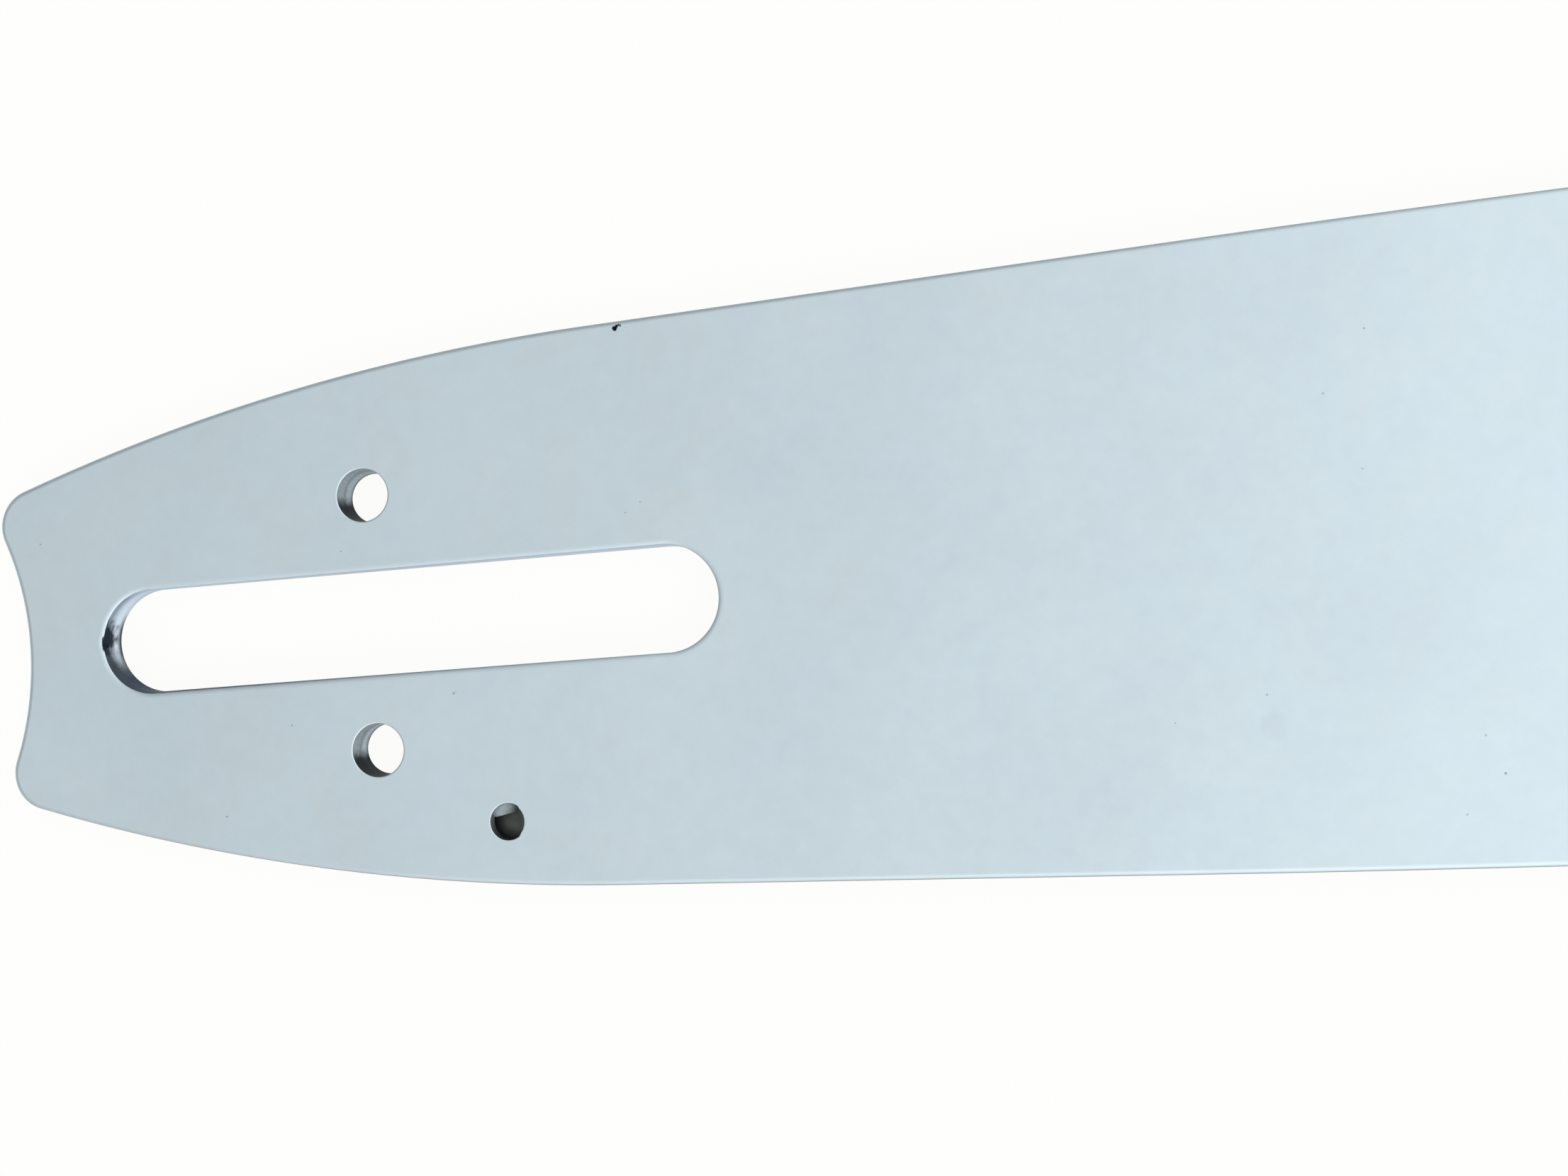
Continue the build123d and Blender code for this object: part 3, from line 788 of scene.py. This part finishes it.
bearing_steel, tree, shader, where = metal("bearing_steel_ground", 0.22)
fine = add_node(tree, "ShaderNodeTexNoise", {"Vector": where, "Scale": per_metre(0.4), "Detail": 3.0})
tint = add_node(tree, "ShaderNodeMix", {0: fine.outputs[0], 6: linear("#b9bbbc"), 7: linear("#cfd1d2")},
                data_type="RGBA")
tree.links.new(tint.outputs[2], shader.inputs["Base Color"])
for name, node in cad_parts.items():
    if name == "bearing_race" or name.startswith("roller_"):
        node.data.materials.clear()
        node.data.materials.append(bearing_steel)

rivet_steel, tree, shader, where = metal("rivet_steel_ground_flush", 0.32)
lengthwise = add_node(tree, "ShaderNodeMapping", {"Vector": where, "Scale": (0.1, 1, 1)})
scratches = add_node(tree, "ShaderNodeTexNoise", {"Vector": lengthwise.outputs[0], "Scale": per_metre(0.2),
                                                  "Detail": 3.0})
tint = add_node(tree, "ShaderNodeMix", {0: scratches.outputs[0], 6: linear("#a4adb2"), 7: linear("#c6cfd4")},
                data_type="RGBA")
bumps = add_node(tree, "ShaderNodeBump", {"Height": scratches.outputs[0], "Strength": 0.2, "Distance": 0.00002})
tree.links.new(tint.outputs[2], shader.inputs["Base Color"])
tree.links.new(bumps.outputs[0], shader.inputs["Normal"])
rivets.data.materials.append(rivet_steel)
print("nose steels:", hardened.name, bearing_steel.name, rivet_steel.name)

# %% [markdown]
# ## Floor
# The bar lies on a white paper sweep, a round floor that turns up at its far edge, made by spinning its section,
# which is in metres. The camera and the steel's reflections see the paper glow at nearly full white, and the small
# share that is left to plain diffuse paper keeps the bar's faint shadow.

# %% White paper sweep
sweep_section = [(0, 0), (18, 0), (18.4, 0.1), (18.7, 0.3), (18.9, 0.6), (19, 1), (19, 2.6)]
paper_gap = 0.00002
glow_share = 0.94
floor_bm = bmesh.new()
verts = [bmesh.ops.create_vert(floor_bm, co=(x, 0, z))["vert"][0] for x, z in sweep_section]
edges = [bmesh.ops.contextual_create(floor_bm, geom=pair)["edges"][0] for pair in zip(verts, verts[1:])]
bmesh.ops.spin(floor_bm, geom=verts + edges, axis=(0, 0, 1), angle=math.tau, steps=96, use_merge=True)
bmesh.ops.remove_doubles(floor_bm, verts=floor_bm.verts, dist=0.001)
floor_mesh = bpy.data.meshes.new("studio_floor")
floor_bm.to_mesh(floor_mesh)
floor_bm.free()
floor = bpy.data.objects.new("studio_floor", floor_mesh)
bpy.context.scene.collection.objects.link(floor)
floor.location.z = -paper_gap
paper = bpy.data.materials.new("white_studio_paper")
paper.use_nodes = True
tree = paper.node_tree
tree.nodes.clear()
path = add_node(tree, "ShaderNodeLightPath")
seen = add_node(tree, "ShaderNodeMath", {0: path.outputs["Is Camera Ray"], 1: path.outputs["Is Glossy Ray"]},
                operation="MAXIMUM")
seen = add_node(tree, "ShaderNodeMath", {0: seen.outputs[0], 1: path.outputs["Is Transmission Ray"]},
                operation="MAXIMUM")
share = add_node(tree, "ShaderNodeMath", {0: seen.outputs[0], 1: glow_share}, operation="MULTIPLY")
matte = add_node(tree, "ShaderNodeBsdfDiffuse", {"Color": linear("#f3f3f2")})
glow = add_node(tree, "ShaderNodeEmission", {"Color": linear("#fffffd"), "Strength": 1.0})
mix = add_node(tree, "ShaderNodeMixShader", {0: share.outputs[0], 1: matte.outputs[0], 2: glow.outputs[0]})
add_node(tree, "ShaderNodeOutputMaterial", {"Surface": mix.outputs[0]})
floor_mesh.materials.append(paper)
print("floor at z", round(floor.location.z, 5), "m")

# %% [markdown]
# ## Studio light
# A flat satin face is a blurred mirror, so its shading is a picture of the room. Here the room is a white tent:
# even overhead, brighter to the nose's side and to the front, and dimmer low down, beyond the nose and at the far
# corner by the tail. All of it is worked out from the direction of each ray, and no lamp is needed.

# %% White tent
world = bpy.data.worlds.new("soft_studio")
bpy.context.scene.world = world
world.use_nodes = True
tree = world.node_tree
tree.nodes.clear()
way = add_node(tree, "ShaderNodeTexCoord").outputs["Generated"]
to_nose = add_node(tree, "ShaderNodeVectorMath", {0: way, 1: (0.996, -0.094, 0)}, operation="DOT_PRODUCT")
main = add_node(tree, "ShaderNodeMapRange", {"Value": to_nose.outputs["Value"], "From Min": -0.05, "From Max": 0.38,
                                             "To Min": 0.935, "To Max": 1.6}, interpolation_type="SMOOTHSTEP")
to_front = add_node(tree, "ShaderNodeVectorMath", {0: way, 1: (0.35, -0.94, 0)}, operation="DOT_PRODUCT")
front_panel = add_node(tree, "ShaderNodeMapRange", {"Value": to_front.outputs["Value"], "From Min": 0.28,
                                                    "From Max": 0.66, "To Max": 0.6},
                       interpolation_type="SMOOTHSTEP")
lit = add_node(tree, "ShaderNodeMath", {0: main.outputs[0], 1: front_panel.outputs[0]}, operation="ADD")
from_corner = add_node(tree, "ShaderNodeVectorMath", {0: way, 1: (0.62, -0.62, 0.48)}, operation="DOT_PRODUCT")
dim = add_node(tree, "ShaderNodeMapRange", {"Value": from_corner.outputs["Value"], "From Min": -0.5, "From Max": 0.0,
                                            "To Min": 0.55, "To Max": 1.0})
level = add_node(tree, "ShaderNodeMath", {0: lit.outputs[0], 1: dim.outputs[0]}, operation="MULTIPLY")
height = add_node(tree, "ShaderNodeSeparateXYZ", {0: way})
low_down = add_node(tree, "ShaderNodeMapRange", {"Value": height.outputs["Z"], "From Min": 0.25, "From Max": 0.7,
                                                 "To Min": 0.5, "To Max": 1.0})
level = add_node(tree, "ShaderNodeMath", {0: level.outputs[0], 1: low_down.outputs[0]}, operation="MULTIPLY")
beyond_nose = add_node(tree, "ShaderNodeMapRange", {"Value": to_nose.outputs["Value"], "From Min": 0.36,
                                                    "From Max": 0.68, "To Min": 1.0, "To Max": 0.62})
level = add_node(tree, "ShaderNodeMath", {0: level.outputs[0], 1: beyond_nose.outputs[0]}, operation="MULTIPLY")
sky = add_node(tree, "ShaderNodeBackground", {"Color": linear("#ffffff"), "Strength": level.outputs[0]})
add_node(tree, "ShaderNodeOutputWorld", {"Surface": sky.outputs[0]})
print("tent nodes:", len(tree.nodes))

# %% [markdown]
# ## Camera
# The camera looks down on the tail from a little to the nose's side, close enough that the rest of the bar runs out
# of the picture. Its axes are given as three unit vectors, which leaves no doubt about its roll.

# %% Camera at the photograph's view
camera_data = bpy.data.cameras.new("photo_camera")
camera_data.lens = 43.258
camera_data.sensor_width = 36.0
camera_data.clip_start = 0.01
camera = bpy.data.objects.new("photo_camera", camera_data)
bpy.context.scene.collection.objects.link(camera)
bpy.context.scene.camera = camera
right = Vector((0.982945, -0.072764, -0.168891))
up = Vector((0.079553, 0.996258, 0.033778))
back = Vector((0.165801, -0.046638, 0.985056))
axes = Matrix((right, up, back)).transposed().to_4x4()
camera.matrix_world = Matrix.Translation((0.079406, -0.009659, 0.210547)) @ axes
bpy.context.scene.view_settings.view_transform = "Standard"
print("camera", round(camera.matrix_world.translation.z * 1000), "mm above the floor")
